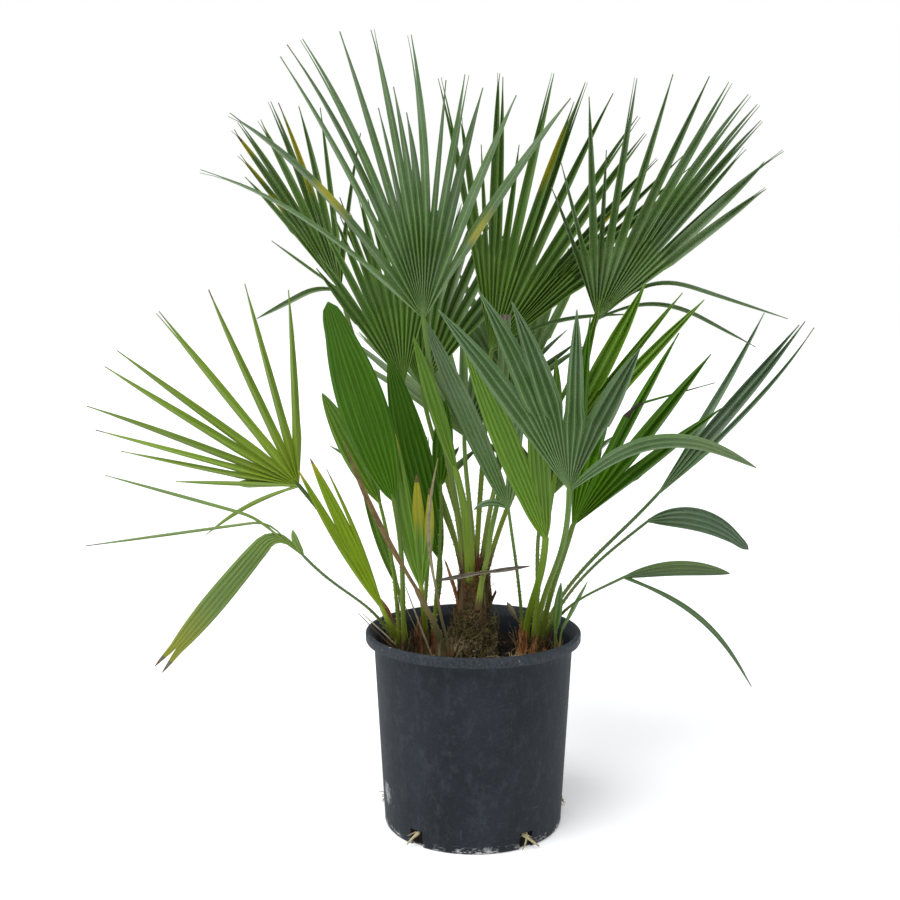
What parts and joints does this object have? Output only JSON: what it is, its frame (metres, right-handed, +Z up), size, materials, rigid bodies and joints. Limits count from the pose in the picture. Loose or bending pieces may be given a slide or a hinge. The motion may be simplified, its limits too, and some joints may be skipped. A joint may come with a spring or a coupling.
{
  "type": "potted european fan palm",
  "caption": "Clump-forming european fan palm with fan-shaped fronds on long stalks, a short fibrous trunk and side shoots, growing in a round tapered nursery pot filled with soil.",
  "frame": {"origin": "middle of the flat underside of the pot, at floor level", "axes": "+Z up through the pot, +X to the right as seen from the front, -Y towards the front"},
  "size_m": [0.9929, 0.7875, 1.0672],
  "materials": {
    "bark": "fibrous",
    "bright_green": "satin leaf",
    "deep_green": "satin leaf",
    "dry_brown": "dry and brittle",
    "dry_grey": "dry and brittle",
    "dry_orange": "dry and brittle",
    "dry_pale": "dry and brittle",
    "grey_green": "satin leaf",
    "mid_green": "satin leaf",
    "pot_plastic": "satin, scuffed",
    "root": "fibrous",
    "soil": "rough, damp",
    "yellow_green": "satin leaf"
  },
  "bodies": {
    "root": {"drain_root_1": "root", "drain_root_2": "root", "drain_root_3": "root", "drain_root_4": "root", "drain_root_5": "root", "drain_root_6": "root", "drain_root_7": "root", "dry_leaf_across": "dry_grey", "dry_leaf_long": "dry_brown", "dry_leaf_pale": "dry_pale", "dry_stub_left": "dry_orange", "dry_stub_right": "dry_orange", "frond_back_centre": "deep_green", "frond_behind_left": "mid_green", "frond_centre": "grey_green", "frond_far_right": "grey_green", "frond_front_left": "grey_green", "frond_left": "yellow_green", "frond_rear_centre": "mid_green", "frond_rear_left": "deep_green", "frond_rear_low_left": "mid_green", "frond_rear_low_right": "deep_green", "frond_rear_right": "mid_green", "frond_right": "deep_green", "frond_right_behind": "bright_green", "frond_right_front": "grey_green", "frond_upper_left": "mid_green", "frond_upper_right": "deep_green", "leaf_front_two_lobed": "bright_green", "leaf_left_broad": "deep_green", "leaf_left_hanging": "mid_green", "leaf_left_narrow": "bright_green", "leaf_left_short": "bright_green", "leaf_left_young": "yellow_green", "leaf_middle_dark": "deep_green", "leaf_middle_small": "deep_green", "leaf_middle_young": "yellow_green", "leaf_right_arching": "deep_green", "leaf_right_low": "deep_green", "leaf_right_small": "deep_green", "leaf_right_thin": "mid_green", "leaf_trunk_narrow": "bright_green", "pot": "pot_plastic", "soil": "soil", "spear_leaf": "mid_green", "sucker_dry": "bark", "sucker_left": "bark", "sucker_middle": "bark", "sucker_right": "bark", "sucker_small": "bark", "trunk": "bark"}
  },
  "joints": []
}
